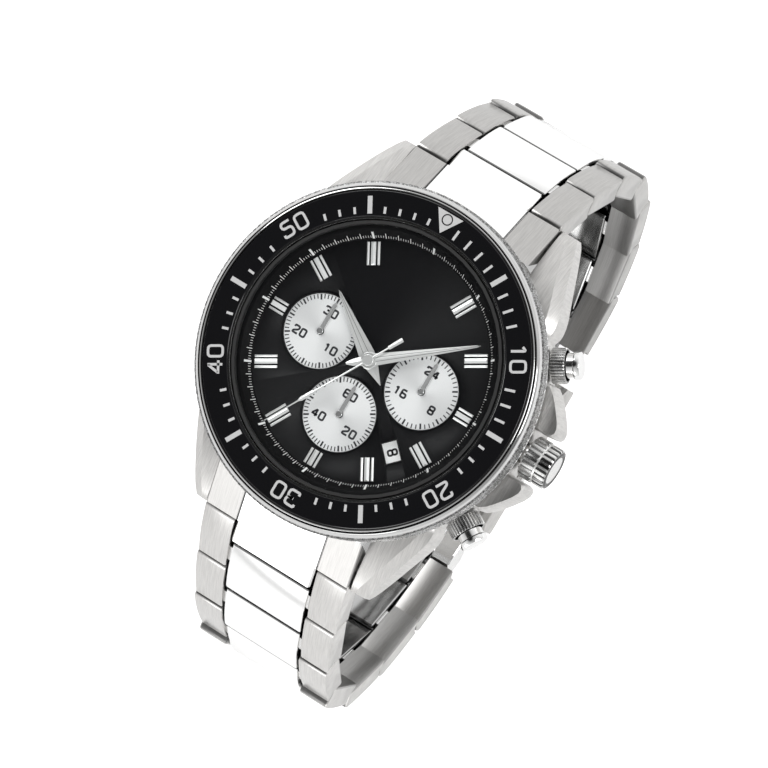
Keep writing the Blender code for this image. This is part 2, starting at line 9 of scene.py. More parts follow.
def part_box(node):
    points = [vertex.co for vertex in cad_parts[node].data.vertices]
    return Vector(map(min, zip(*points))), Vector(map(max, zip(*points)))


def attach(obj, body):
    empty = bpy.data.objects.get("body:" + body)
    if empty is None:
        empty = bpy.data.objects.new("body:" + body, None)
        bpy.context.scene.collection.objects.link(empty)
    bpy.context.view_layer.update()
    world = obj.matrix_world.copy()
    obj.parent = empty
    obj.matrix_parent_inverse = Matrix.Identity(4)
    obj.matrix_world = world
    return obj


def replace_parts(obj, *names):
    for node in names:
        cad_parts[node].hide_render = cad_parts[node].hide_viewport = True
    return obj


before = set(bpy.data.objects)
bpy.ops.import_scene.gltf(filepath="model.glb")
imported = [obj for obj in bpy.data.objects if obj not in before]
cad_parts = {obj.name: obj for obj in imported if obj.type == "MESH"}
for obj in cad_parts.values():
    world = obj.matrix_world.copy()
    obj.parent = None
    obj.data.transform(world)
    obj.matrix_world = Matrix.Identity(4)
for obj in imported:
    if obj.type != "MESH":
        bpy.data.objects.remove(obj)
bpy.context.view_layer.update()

bl_info = {
    "name": "Chronograph Wristwatch",
    "version": (1, 0, 0),
    "blender": (4, 5, 0),
    "location": "View3D > Sidebar > Watch",
    "description": "Builds the finish and fine detail of a steel chronograph wristwatch",
    "category": "Object",
}

# ---------------------------------------------------------------------------- sizes, in millimetres
MM = 0.001
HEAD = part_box("bezel")[1].z / MM
# Heights, all counted from the bezel's top
STEM_Z, DIAL_FACE, MARKER_FOOT, SUB_FACE, DATE_FACE, INLAY_FACE = -7.4, -2.5, -2.51, -2.56, -3.0, -0.03
BEZEL_GROOVE_R = 21.32
SUB_AT, SUB_HOLE = 7.55, 4.75
SUBS = {"3": (SUB_AT, 0.0), "6": (0.0, -SUB_AT), "9": (-SUB_AT, 0.0)}
# An hour marker runs between two radii, and starts further out where a sub-dial is beside it
MARKER_START, MARKER_START_BY_SUB, MARKER_END = 11.9, 12.75, 14.82
# The date window: its distance out, half length, half width, border and swing in degrees
DATE_AT, DATE_LONG, DATE_WIDE, DATE_RIM, DATE_SWING = 11.6, 1.27, 0.94, 0.14, -45.0
SHOWN_DAY = 8
LINK_PITCH, LINK_THICK = 9.0, 3.4
LINK_W_HEAD, LINK_W_CLASP = 21.5, 18.4
CENTRE_W, CENTRE_W_CLASP = 12.2, 10.4
# Where a centre piece's face ends, near and far, counted along its link
CENTRE_FROM, CENTRE_TO = 2.48, 10.62
HALF_T, ROUND, SEAM, GROOVE = LINK_THICK / 2, LINK_PITCH / 4, 0.25, 0.15
FIRST_PIN = (26.2, -10.3)
END_LEAN, END_HALF = 36.0, 10.8
# How far each link leans below the horizontal, from the head to the clasp
LEANS = {"12": (1, (55, 66, 84, 106, 128, 145, 168)), "6": (-1, (48, 56, 68, 96, 126, 144, 158))}


# ---------------------------------------------------------------------------- shader tools
class Wire:
    """A node socket that takes part in Python arithmetic."""

    def __init__(self, tree, socket):
        self.tree, self.socket = tree, socket

    def math(self, kind, *others, clamp=False):
        node = self.tree.nodes.new("ShaderNodeMath")
        node.operation = kind
        node.use_clamp = clamp
        for slot, value in zip(node.inputs, (self, *others)):
            plug(self.tree, slot, value)
        return Wire(self.tree, node.outputs[0])

    def __add__(self, other):
        return self.math("ADD", other)

    def __radd__(self, other):
        return self.math("ADD", other)

    def __sub__(self, other):
        return self.math("SUBTRACT", other)

    def __rsub__(self, other):
        node = self.tree.nodes.new("ShaderNodeMath")
        node.operation = "SUBTRACT"
        plug(self.tree, node.inputs[0], other)
        plug(self.tree, node.inputs[1], self)
        return Wire(self.tree, node.outputs[0])

    def __mul__(self, other):
        return self.math("MULTIPLY", other)

    def __pow__(self, other):
        return self.math("POWER", other)

    def __abs__(self):
        return self.math("ABSOLUTE")

    def __lt__(self, other):
        return self.math("LESS_THAN", other)

    def __gt__(self, other):
        return self.math("GREATER_THAN", other)

    def clamped(self):
        return self.math("ADD", 0.0, clamp=True)

    def cosine(self):
        return self.math("COSINE")

    def sharper(self, gain):
        """More contrast about the middle value, kept between 0 and 1."""
        return ((self - 0.5) * gain + 0.5).clamped()


def plug(tree, slot, value):
    """Put a wire, a number or a colour into an input."""
    if isinstance(value, Wire):
        tree.links.new(value.socket, slot)
    elif hasattr(slot.default_value, "__len__") and not isinstance(value, (int, float)):
        value = tuple(value)
        slot.default_value = value + (1.0,) if len(value) == 3 and len(slot.default_value) == 4 else value
    else:
        slot.default_value = value


class Look:
    """A material under construction."""

    def __init__(self, name):
        self.mat = bpy.data.materials.new(name)
        self.mat.use_nodes = True
        self.tree = self.mat.node_tree
        self.shader = self.tree.nodes["Principled BSDF"]
        self.place = None

    def node(self, kind, out=0, **inputs):
        node = self.tree.nodes.new(kind)
        for key, value in inputs.items():
            plug(self.tree, node.inputs[key.replace("_", " ")], value)
        return Wire(self.tree, node.outputs[out])

    def mm(self):
        """x, y, z of the shaded point in millimetres."""
        if self.place is None:
            here = self.node("ShaderNodeTexCoord", "Object")
            split = self.node("ShaderNodeSeparateXYZ", Vector=here).socket.node
            self.place = [Wire(self.tree, out) * 1000.0 for out in split.outputs]
        return self.place

    def vector(self, x, y, z):
        return self.node("ShaderNodeCombineXYZ", X=x, Y=y, Z=z)

    def noise(self, vector, scale=1.0, detail=3.0, rough=0.55):
        return self.node("ShaderNodeTexNoise", "Fac", Vector=vector, Scale=scale, Detail=detail,
                         Roughness=rough)

    def mix(self, amount, a, b):
        node = self.tree.nodes.new("ShaderNodeMix")
        node.data_type = "RGBA"
        plug(self.tree, node.inputs[0], amount)
        plug(self.tree, node.inputs[6], a)
        plug(self.tree, node.inputs[7], b)
        return Wire(self.tree, node.outputs[2])

    def bump(self, height, strength, distance=0.00002):
        return self.node("ShaderNodeBump", Height=height, Strength=strength, Distance=distance)

    def finish(self, **inputs):
        for key, value in inputs.items():
            plug(self.tree, self.shader.inputs[key.replace("_", " ")], value)
        return self.mat


def brushed(name, tone, x_fine=8.0, rough=0.3):
    """Steel with a straight grain: fine across X, long along the other two."""
    look = Look(name)
    x, y, z = look.mm()
    grain = look.noise(look.vector(x * x_fine, y * 0.35, z * 0.35), 1.0, 5.0, 0.75)
    broad = look.noise(look.vector(x * 0.9, y * 0.12, z * 0.12), 1.0, 2.0)
    colour = look.mix(grain.sharper(3.0), [c * 0.8 for c in tone], [min(1.0, c * 1.1) for c in tone])
    shine = grain * 0.1 + broad * 0.08 + (rough - 0.05)
    return look.finish(Base_Color=colour, Metallic=1.0, Roughness=shine, Normal=look.bump(grain, 0.22))


def polished(name, tone, rough=0.06, metal=1.0):
    """Mirror-finished steel with the faintest haze."""
    look = Look(name)
    x, y, z = look.mm()
    haze = look.noise(look.vector(x * 0.5, y * 0.5, z * 0.5), 1.0, 3.0)
    fine = look.noise(look.vector(x * 7, y * 7, z * 7), 1.0, 2.0)
    colour = look.mix(haze, [c * 0.97 for c in tone], tone)
    shine = haze * 0.05 + fine * 0.02 + (rough - 0.03)
    return look.finish(Base_Color=colour, Metallic=metal, Roughness=shine)


def rim_steel(name, tone, below):
    """Polished above a height, stippled and greyer below it, with painted shade in the groove round the top.
    """
    look = Look(name)
    x, y, z = look.mm()
    grip = z < below
    grit = look.noise(look.vector(x * 5.0, y * 5.0, z * 5.0), 1.0, 2.0, 0.8)
    rough = look.mix(grit.sharper(5.0), [c * 0.22 for c in tone], [c * 0.9 for c in tone])
    reach = (x * x + y * y) ** 0.5
    # Painted shade: the groove round the top is coloured near black.
    groove_shade = ((0.1 - abs(reach - BEZEL_GROOVE_R)) * 30.0).clamped() * (z < HEAD - 0.1) * (z > HEAD - 0.6)
    colour = look.mix(grip, [c * 0.72 for c in tone], rough)
    colour = look.mix(groove_shade, colour, (0.03, 0.03, 0.03))
    return look.finish(Base_Color=colour, Metallic=1.0, Roughness=grip * 0.22 + grit * 0.04 + 0.07,
                       Normal=look.bump(grit * grip, 0.6, 0.0001))


def link_steel(name, tone, bright, pin, direction, side, half, slope, share, at_case=False):
    """Brushed outer pieces and a polished centre piece, with painted shade in the seams, at the ends of the
    centre piece, along the end link's outer edges and inside the loop.
    """
    look = Look(name)
    x, y, z = look.mm()
    c, s = cos(radians(direction)), sin(radians(direction))
    y = y - pin[0]
    z = z - (HEAD + pin[1])
    along = y * (side * c) - z * s
    out = y * (side * s) + z * c
    edge = (CENTRE_W - (CENTRE_W - CENTRE_W_CLASP) * share) / 2
    centre = abs(x) < edge
    grain = look.noise(look.vector(x * 8.0, y * 0.3, z * 0.3), 1.0, 5.0, 0.75)
    haze = look.noise(look.vector(x * 0.4, y * 0.4, z * 0.4), 1.0, 2.0)
    satin = look.mix(grain.sharper(3.0), [v * 0.84 for v in tone], [min(1.0, v * 1.08) for v in tone])
    metal = look.mix(centre, satin, bright)
    within = ((half - 0.15 - along * slope - abs(x)) * 8.0).clamped()
    # Painted shade in the seams: the faces between the pieces, away from top and bottom, go near black.
    seam_shade = ((HALF_T - 0.4 - abs(out)) * 5.0).clamped() * within
    if at_case:
        # On the end link, painted shade draws dark seam lines where the centre piece meets the outer ones,
        # and darkens the outer edges.
        line = ((0.13 - abs(abs(x) - edge)) * 20.0).clamped()
        seam_shade = (seam_shade + line + ((abs(x) - (half - 0.12)) * 12.0).clamped()).clamped()
    else:
        # Painted shade at both ends of the centre piece.
        ends = ((CENTRE_FROM - along) * 9.0).clamped() + ((along - CENTRE_TO) * 5.0).clamped()
        seam_shade = (seam_shade + ends * centre * 0.85).clamped()
    metal = look.mix(seam_shade * (0.75 + centre * 0.25), metal, (0.045, 0.045, 0.046))
    # Painted shade on the inside of the loop.
    back = ((-HALF_T + 0.35 - out) * 6.0).clamped()
    metal = look.mix(back * 0.55, metal, (0.1, 0.1, 0.1))
    dull = grain * 0.12 + 0.24
    shine = haze * 0.04 + 0.09
    return look.finish(Base_Color=metal, Metallic=1.0, Roughness=dull + (shine - dull) * centre,
                       Normal=look.bump(grain * (1.0 - centre), 0.22))


def grip_steel(name, tone, angle, depth, height):
    """Steel whose flutes, cut below a radius from a radial axis, carry painted shadow."""
    look = Look(name)
    x, y, z = look.mm()
    a = radians(angle)
    across = y * cos(a) - x * sin(a)
    lift = z - (HEAD + height)
    reach = (across * across + lift * lift) ** 0.5
    speck = look.noise(look.vector(x * 6.0, y * 6.0, z * 6.0), 1.0, 2.0)
    # Painted shadow: the cut-back flutes are coloured near black.
    hollow = ((depth - reach) * 7.0).clamped() * (reach > depth * 0.7)
    colour = look.mix(hollow, [v * 0.95 for v in tone], (0.07, 0.07, 0.07))
    return look.finish(Base_Color=colour, Metallic=1.0, Roughness=speck * 0.08 + 0.22)


def hand_steel(name, tone, angle, base, tip, length):
    """A polished hand with two fine lines that close towards its tip."""
    look = Look(name)
    x, y, z = look.mm()
    a = radians(angle)
    along = x * sin(a) + y * cos(a)
    across = abs(x * cos(a) - y * sin(a))
    place = ((length - along) * ((base - tip) / length) + tip) * 0.36
    line = ((0.045 - abs(across - place)) * 40.0).clamped() * (along > 0.9)
    haze = look.noise(look.vector(x * 2.0, y * 2.0, z * 2.0), 1.0, 2.0)
    colour = look.mix(line, tone, [v * 0.3 for v in tone])
    return look.finish(Base_Color=colour, Metallic=0.4, Roughness=haze * 0.06 + 0.2)


def sunray(name, dark, light):
    """A lacquered dial with rays brushed out from its centre, and a painted highlight: two opposite fans of
    lighter rays.
    """
    look = Look(name)
    x, y, _ = look.mm()
    turn = y.math("ARCTAN2", x)
    rays = look.noise(look.vector(turn * 40.0, 0.0, 0.0), 1.0, 4.0, 0.8)
    # Painted highlight: the rays are lighter in two opposite fans.
    ray_highlight = ((turn * 2.0 - 1.9).cosine() * 0.5 + 0.5) ** 4.0
    colour = look.mix((ray_highlight * 0.85 + rays * 0.15 * ray_highlight + rays * 0.05).clamped(), dark, light)
    return look.finish(Base_Color=colour, Metallic=0.0, Roughness=rays * 0.08 + 0.4, Specular_IOR_Level=0.15,
                       Normal=look.bump(rays, 0.02))


def plain(name, colour, rough=0.4, metal=0.0, fine=3.0, swing=0.12, coat=0.0, bump=0.05, sheen=0.5):
    """Paint, plastic, rubber or print: an even colour with the small unevenness that real stuff has."""
    look = Look(name)
    x, y, z = look.mm()
    speck = look.noise(look.vector(x * fine, y * fine, z * fine), 1.0, 3.0)
    tone = look.mix(speck, [c * (1 - swing) for c in colour], [min(1.0, c * (1 + swing)) for c in colour])
    return look.finish(Base_Color=tone, Metallic=metal, Roughness=speck * 0.1 + (rough - 0.05),
                       Coat_Weight=coat, Specular_IOR_Level=sheen, Normal=look.bump(speck, bump))


def ringed(name, colour):
    """Turned rings for the sub-dials, each far finer than a tick, with a soft fan of painted shade."""
    look = Look(name)
    x, y, _ = look.mm()
    reaches = [((x - cx) ** 2.0 + (y - cy) ** 2.0) ** 0.5 for cx, cy in SUBS.values()]
    near = reaches[0].math("MINIMUM", reaches[1]).math("MINIMUM", reaches[2])
    rings = (near * 40.0).cosine() * 0.5 + 0.5
    shade = 0.0
    # Painted shade: a soft fan of darker tone across each sub-dial.
    for (cx, cy), reach in zip(SUBS.values(), reaches):
        around = (y - cy).math("ARCTAN2", x - cx)
        fan = ((around * 2.0 + 0.7).cosine() * 0.5 + 0.5) ** 1.5
        shade = fan * (reach < 4.7) + shade
    tone = look.mix((rings * 0.2 + shade * 0.8).clamped(), colour, [c * 0.74 for c in colour])
    return look.finish(Base_Color=tone, Metallic=0.0, Roughness=rings * 0.08 + 0.36,
                       Normal=look.bump(rings, 0.06))


def clear_glass(name):
    """A clear crystal that lets the dial through and keeps a faint reflection."""
    look = Look(name)
    tree = look.tree
    x, y, z = look.mm()
    ripple = look.noise(look.vector(x * 0.3, y * 0.3, z * 0.3), 1.0, 1.0)
    facing = look.node("ShaderNodeLayerWeight", "Fresnel", Blend=0.12)
    glossy = look.node("ShaderNodeBsdfGlossy", Color=(1.0, 1.0, 1.0), Roughness=ripple * 0.02 + 0.01)
    through = look.node("ShaderNodeBsdfTransparent", Color=(0.985, 0.99, 0.99))
    both = tree.nodes.new("ShaderNodeMixShader")
    plug(tree, both.inputs[0], (facing * 0.1).clamped())
    tree.links.new(through.socket, both.inputs[1])
    tree.links.new(glossy.socket, both.inputs[2])
    tree.links.new(both.outputs[0], tree.nodes["Material Output"].inputs["Surface"])
    return look.mat


# ---------------------------------------------------------------------------- mesh tools
def solid(name, verts, faces, material, smooth=30.0, z=0.0):
    """A mesh from millimetre corners, with z counted from the given height."""
    mesh = bpy.data.meshes.new(name)
    mesh.from_pydata([(x * MM, y * MM, (h + z) * MM) for x, y, h in verts], [], faces)
    bm = bmesh.new()
    bm.from_mesh(mesh)
    bmesh.ops.recalc_face_normals(bm, faces=bm.faces)
    bm.to_mesh(mesh)
    bm.free()
    mesh.shade_smooth()
    mesh.set_sharp_from_angle(angle=radians(smooth))
    mesh.materials.append(material)
    obj = bpy.data.objects.new(name, mesh)
    bpy.context.scene.collection.objects.link(obj)
    return obj


def pierce(obj, shape):
    """Cut a shape, in millimetres from the dial's height, out of an object."""
    tool = solid("cutter", *shape, obj.data.materials[0], 30.0, HEAD)
    mod = obj.modifiers.new("Cut", "BOOLEAN")
    mod.operation, mod.solver, mod.object = "DIFFERENCE", "EXACT", tool
    graph = bpy.context.evaluated_depsgraph_get()
    mesh = bpy.data.meshes.new_from_object(obj.evaluated_get(graph))
    obj.modifiers.clear()
    obj.data = mesh
    bpy.data.objects.remove(tool, do_unlink=True)


def joined(*shapes):
    verts, faces = [], []
    for v, f in shapes:
        base = len(verts)
        verts += v
        faces += [[base + i for i in face] for face in f]
    return verts, faces


def moved(shape, matrix):
    return [tuple(matrix @ Vector(v)) for v in shape[0]], shape[1]


def turned(shape, angle, axis="Z"):
    return moved(shape, Matrix.Rotation(radians(angle), 4, axis))


def shift(shape, x=0.0, y=0.0, z=0.0):
    return moved(shape, Matrix.Translation((x, y, z)))


def lathe(profile, segs, ring=True, wobble=None):
    """Turn (r, z) points about Z; wobble(row, step) gives a radius to take off."""
    rows = list(profile) if ring else [(0.0, profile[0][1]), *profile, (0.0, profile[-1][1])]
    verts, faces = [], []
    for k, (r, z) in enumerate(rows):
        for i in range(segs):
            cutback = wobble(k, i) if wobble else 0.0
            verts.append(((r - cutback) * cos(2 * pi * i / segs), (r - cutback) * sin(2 * pi * i / segs), z))
    for k in range(len(rows) if ring else len(rows) - 1):
        a, b = k * segs, (k + 1) % len(rows) * segs
        faces += [[a + i, a + (i + 1) % segs, b + (i + 1) % segs, b + i] for i in range(segs)]
    if ring:
        return verts, faces
    bm = bmesh.new()
    corners = [bm.verts.new(v) for v in verts]
    for face in faces:
        bm.faces.new([corners[i] for i in face])
    bmesh.ops.remove_doubles(bm, verts=bm.verts, dist=1e-5)
    bm.verts.index_update()
    shape = [tuple(v.co) for v in bm.verts], [[v.index for v in face.verts] for face in bm.faces]
    bm.free()
    return shape


def loft(sections, close=False):
    n = len(sections[0])
    verts = [p for s in sections for p in s]
    faces = [] if close else [list(range(n)), [(len(sections) - 1) * n + i for i in range(n)]]
    for k in range(len(sections) if close else len(sections) - 1):
        m = (k + 1) % len(sections)
        faces += [[k * n + i, k * n + (i + 1) % n, m * n + (i + 1) % n, m * n + i] for i in range(n)]
    return verts, faces


def block(x0, x1, y0, y1, z0, z1):
    """A plain box between two corners."""
    return loft([[(x0, y0, z), (x1, y0, z), (x1, y1, z), (x0, y1, z)] for z in (z0, z1)])


def roof(x0, x1, half, z0, z1, ridge):
    """A bar along X with a ridge down its middle and hipped ends."""
    low = [(x0, -half, z0), (x1, -half, z0), (x1, half, z0), (x0, half, z0)]
    high = [(x, y, z1) for x, y, _ in low]
    top = [(x0 + half * 0.6, 0.0, ridge), (x1 - half * 0.6, 0.0, ridge)]
    faces = [[3, 2, 1, 0], [0, 1, 5, 4], [1, 2, 6, 5], [2, 3, 7, 6], [3, 0, 4, 7],
             [4, 5, 9, 8], [6, 7, 8, 9], [5, 6, 9], [7, 4, 8]]
    return low + high + top, faces


def at_minute(shape, minute):
    """Swing a shape drawn along +Y (its top outward) to a minute of the dial."""
    return turned(shape, -6.0 * minute)


def spline(values, steps):
    """Catmull-Rom through equally weighted rows of numbers."""
    rows = [values[0], *values, values[-1]]
    out = []
    for k in range(1, len(rows) - 2):
        p0, p1, p2, p3 = rows[k - 1:k + 3]
        for i in range(steps):
            t = i / steps
            out.append(tuple(0.5 * (2 * b + (c - a) * t + (2 * a - 5 * b + 4 * c - d) * t * t
                                    + (3 * b - a - 3 * c + d) * t ** 3)
                             for a, b, c, d in zip(p0, p1, p2, p3)))
    return out + [tuple(values[-1])]


# ---------------------------------------------------------------------------- plain numerals
def rounded(points, radius, closed=False):
    """A path with its corners turned into short arcs."""
    n = len(points)
    out = []
    for i, p in enumerate(points):
        if not closed and i in (0, n - 1):
            out.append(p)
            continue
        here = Vector(p)
        back, ahead = Vector(points[i - 1]) - here, Vector(points[(i + 1) % n]) - here
        r = min(radius, back.length * 0.49, ahead.length * 0.49)
        a, b = here + back.normalized() * r, here + ahead.normalized() * r
        for t in (0.0, 0.33, 0.67, 1.0):
            q = a * (1 - t) ** 2 + here * 2 * t * (1 - t) + b * t * t
            out.append((q.x, q.y))
    return out


def ribbon(points, width, thick, closed=False):
    """A flat band of one width along a path, with mitred joints."""
    n = len(points)
    sections = []
    for i, p in enumerate(points):
        here = Vector(p)
        before = Vector(points[i - 1]) if closed or i else None
        after = Vector(points[(i + 1) % n]) if closed or i < n - 1 else None
        d1 = (here - before).normalized() if before is not None else (after - here).normalized()
        d2 = (after - here).normalized() if after is not None else d1
        normal = Vector((-(d1 + d2).y, (d1 + d2).x)).normalized()
        reach = width / 2 / max(0.5, normal.dot(Vector((-d1.y, d1.x))))
        a, b = here + normal * reach, here - normal * reach
        sections.append([(a.x, a.y, 0), (b.x, b.y, 0), (b.x, b.y, thick), (a.x, a.y, thick)])
    return loft(sections, closed)


BOX = [(-0.5, -0.8), (0.5, -0.8), (0.5, 0.8), (-0.5, 0.8)]
GLYPHS = {
    "0": [(BOX, True)],
    "1": [([(-0.3, 0.45), (0.08, 0.8), (0.08, -0.8)], False)],
    "2": [([(-0.5, 0.4), (-0.5, 0.8), (0.5, 0.8), (0.5, 0.15), (-0.5, -0.45), (-0.5, -0.8), (0.55, -0.8)],
           False)],
    "3": [([(-0.5, 0.5), (-0.5, 0.8), (0.5, 0.8), (0.5, 0.04), (-0.15, 0.04)], False),
          ([(-0.1, 0.04), (0.5, 0.04), (0.5, -0.8), (-0.5, -0.8), (-0.5, -0.5)], False)],
    "4": [([(0.25, -0.8), (0.25, 0.8)], False), ([(0.2, 0.74), (-0.5, -0.3)], False),
          ([(-0.62, -0.36), (0.62, -0.36)], False)],
    "5": [([(0.5, 0.8), (-0.45, 0.8), (-0.45, 0.12), (0.5, 0.12), (0.5, -0.8), (-0.5, -0.8), (-0.5, -0.5)],
           False)],
    "6": [([(0.4, 0.8), (-0.5, 0.8), (-0.5, 0.05), (-0.5, -0.8), (0.5, -0.8), (0.5, 0.05), (-0.45, 0.05)],
           False)],
    "7": [([(-0.5, 0.8), (0.5, 0.8), (-0.1, -0.8)], False)],
    "8": [([(-0.5, 0.0), (0.5, 0.0), (0.5, 0.8), (-0.5, 0.8)], True),
          ([(-0.5, -0.8), (0.5, -0.8), (0.5, 0.0), (-0.5, 0.0)], True)],
    "9": [([(0.45, -0.05), (-0.5, -0.05), (-0.5, 0.8), (0.5, 0.8), (0.5, -0.8), (-0.4, -0.8)], False)],
}


def number(text, height, thick, stroke, gap, wide):
    """A numeral drawn in strokes, centred on the origin with its top towards +Y."""
    scale = height / 1.6
    shapes = []
    for k, digit in enumerate(text):
        x = (k - (len(text) - 1) / 2) * gap
        for path, closed in GLYPHS[digit]:
            points = rounded(path, 0.34, closed)
            points = [((px + x) * scale * wide, py * scale) for px, py in points]
            shapes.append(ribbon(points, stroke * scale, thick, closed))
    return joined(*shapes)


# ---------------------------------------------------------------------------- settings
class WatchSettings(bpy.types.PropertyGroup):
    steel: FloatVectorProperty(name="Brushed steel", subtype="COLOR", size=3, default=(0.66, 0.65, 0.635))
    bright: FloatVectorProperty(name="Polished steel", subtype="COLOR", size=3, default=(0.9, 0.9, 0.895))
    black: FloatVectorProperty(name="Dial and insert", subtype="COLOR", size=3, default=(0.006, 0.006, 0.007))
    silver: FloatVectorProperty(name="Sub-dials", subtype="COLOR", size=3, default=(0.95, 0.95, 0.95))
    knurl: IntProperty(name="Bezel grip points", default=150, min=40, max=300)
    mark_height: FloatProperty(name="Bezel numeral height, mm", default=1.9, min=1.0, max=3.0)
    view_distance: FloatProperty(name="Camera distance, mm", default=516.7, min=200.0)


def settings():
    return bpy.context.scene.watch_settings


def paint(node, material):
    """Give a CAD node its finished material."""
    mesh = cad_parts[node].data
    mesh.materials.clear()
    mesh.materials.append(material)
    for face in mesh.polygons:
        face.material_index = 0


# ---------------------------------------------------------------------------- pieces
class WATCH_OT_case(bpy.types.Operator):
    """Mid-case with its lugs and crown guards, the back and the end links"""

    bl_idname = "watch.case"
    bl_label = "Case"

    def execute(self, context):
        s = settings()
        steel = brushed("case_steel", s.steel, rough=0.32)
        shapes = []
        drum = [(19.4, -11.0), (20.9, -11.0), (21.4, -10.8), (21.6, -10.3), (21.6, -4.25), (21.5, -4.0),
                (21.3, -3.9), (19.0, -3.9), (19.0, -1.25), (17.2, -1.25), (17.2, -11.0)]
        shapes.append(lathe(drum, 192))
        stations = [(8.5, 19.3, -10.9, -4.0), (12.5, 17.1, -10.9, -4.1), (14.3, 17.3, -10.9, -4.3),
                    (16.2, 17.0, -11.0, -4.7), (19.5, 15.7, -11.3, -5.6), (22.6, 14.4, -11.9, -6.8),
                    (24.8, 13.4, -12.25, -7.9), (25.75, 12.85, -12.15, -8.8)]
        for sx in (1, -1):
            for sy in (1, -1):
                rows = []
                for y, outer, low, high in spline(stations, 5):
                    bevel = min(1.35, (outer - 11.0) * 0.6)
                    inner = 11.0 if y > 13.5 else max(11.0, (17.4 ** 2 - y * y) ** 0.5 if y < 17 else 11.0)
                    rows.append([(sx * px, sy * y, pz) for px, pz in (
                        (inner, low), (outer - 0.3, low), (outer, low + 0.3), (outer, high - bevel * 0.8),
                        (outer - bevel, high), (inner, high))])
                shapes.append(loft(rows))
        body = solid("case_body", *joined(*shapes), steel, 24.0, HEAD)
        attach(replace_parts(body, "case_middle"), "head")
        guard = [(18.5, 3.2), (23.6, 3.2), (24.1, 3.35), (24.35, 3.8), (24.3, 4.4), (23.9, 5.2), (23.1, 6.3),
                 (22.3, 7.3), (21.5, 8.2), (20.6, 8.85), (18.5, 8.9)]
        for sy in (1, -1):
            rows = [[(x, sy * y, z) for x, y in guard] for z in (-9.9, -4.9)]
            cx, cy = 21.5, 5.6
            rows.append([(cx + (x - cx) * 0.93, sy * (cy + (y - cy) * 0.9), -4.5) for x, y in guard])
            wing = solid(f"crown_guard_{'upper' if sy > 0 else 'lower'}", *loft(rows), steel, 28.0, HEAD)
            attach(wing, "head")
        paint("case_back", brushed("case_back_steel", s.steel, x_fine=7.0, rough=0.35))
        for side in ("12", "6"):
            way = LEANS[side][0]
            tone = [v * 0.8 for v in s.steel]
            # Painted shade and highlight: the end link's polished centre is darker on the 6 o'clock side and
            # lighter on the 12 o'clock side.
            bright = [v * (0.82 if side == "6" else 1.1) for v in s.bright]
            pin = (way * FIRST_PIN[0], FIRST_PIN[1])
            paint(f"end_link_{side}", link_steel(
                f"end_link_{side}_steel", tone, bright, pin, END_LEAN, way, END_HALF, 0.0, 0.0, at_case=True))
            paint(f"spring_bar_{side}", brushed(f"spring_bar_{side}_steel", s.steel))
        return {"FINISHED"}


class WATCH_OT_bezel(bpy.types.Operator):
    """Turning bezel with its grip, black insert and minute scale"""

    bl_idname = "watch.bezel"
    bl_label = "Bezel"

    def execute(self, context):
        s = settings()
        rows = [(19.3, -3.65), (21.9, -3.65), (22.1, -3.55), (22.2, -3.35)]
        grip = [(22.2, -3.3 + 0.38 * i) for i in range(7)]
        cut_rows = range(len(rows), len(rows) + len(grip))
        rows += grip + [(22.16, -1.0), (21.98, -0.98), (21.96, -0.84), (21.88, -0.7), (21.62, -0.3),
                        (21.5, -0.2), (21.4, -0.22), (21.38, -0.4), (21.26, -0.4), (21.24, -0.05),
                        (21.16, 0.0), (20.98, 0.0), (20.95, -0.1), (20.95, -0.45), (17.55, -0.45),
                        (17.55, -0.06), (17.5, 0.0), (17.34, 0.0), (17.3, -0.05), (17.3, -1.0), (19.3, -1.0)]

        def knurl(row, step):
            return 0.22 if row in cut_rows and (step + row) % 2 else 0.0

        steel = rim_steel("bezel_steel", s.bright, HEAD - 0.95)
        ring = solid("bezel_ring", *lathe(rows, s.knurl * 2, True, knurl), steel, 40.0, HEAD)
        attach(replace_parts(ring, "bezel"), "bezel")
        insert = [(17.6, -0.4), (17.6, -0.1), (17.68, INLAY_FACE), (20.8, INLAY_FACE), (20.88, -0.1),
                  (20.88, -0.4)]
        disc = solid("bezel_inlay", *lathe(insert, 256), plain(
            "inlay_black", s.black, 0.16, coat=0.6, fine=6.0, bump=0.01), 40.0, HEAD)
        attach(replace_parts(disc, "bezel_insert"), "bezel")

        silver = plain("scale_silver", (0.6, 0.6, 0.6), 0.4, fine=8.0)
        marks = []
        for minute in range(1, 60):
            if minute % 10 == 0 or (minute % 10 in (1, 9) and 1 < minute < 59):
                continue
            if minute % 5 == 0:
                marks.append(at_minute(block(-0.3, 0.3, 17.95, 20.15, 0.0, 0.03), minute))
            else:
                # The first quarter's ticks are longer
                reach = 19.35 if minute < 15 else 18.85
                marks.append(at_minute(block(-0.16, 0.16, 18.0, reach, 0.0, 0.03), minute))
        for minute in (10, 20, 30, 40, 50):
            label = number(str(minute), s.mark_height, 0.03, 0.27, 1.5, 1.12)
            marks.append(at_minute(shift(label, y=19.2), minute))
        marks.append(([(-1.85, 20.55, 0.0), (1.85, 20.55, 0.0), (0.0, 17.85, 0.0),
                       (-1.85, 20.55, 0.03), (1.85, 20.55, 0.03), (0.0, 17.85, 0.03)],
                      [[0, 1, 2], [5, 4, 3], [0, 3, 4, 1], [1, 4, 5, 2], [2, 5, 3, 0]]))
        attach(solid("bezel_scale", *joined(*marks), silver, 30.0, HEAD + INLAY_FACE), "bezel")
        pip = shift(lathe([(0.58, 0.0), (0.72, 0.0), (0.72, 0.05), (0.58, 0.05)], 40), y=19.7)
        black = plain("pip_black", s.black, 0.25)
        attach(solid("bezel_pip_ring", *pip, black, 30.0, HEAD + INLAY_FACE), "bezel")
        return {"FINISHED"}


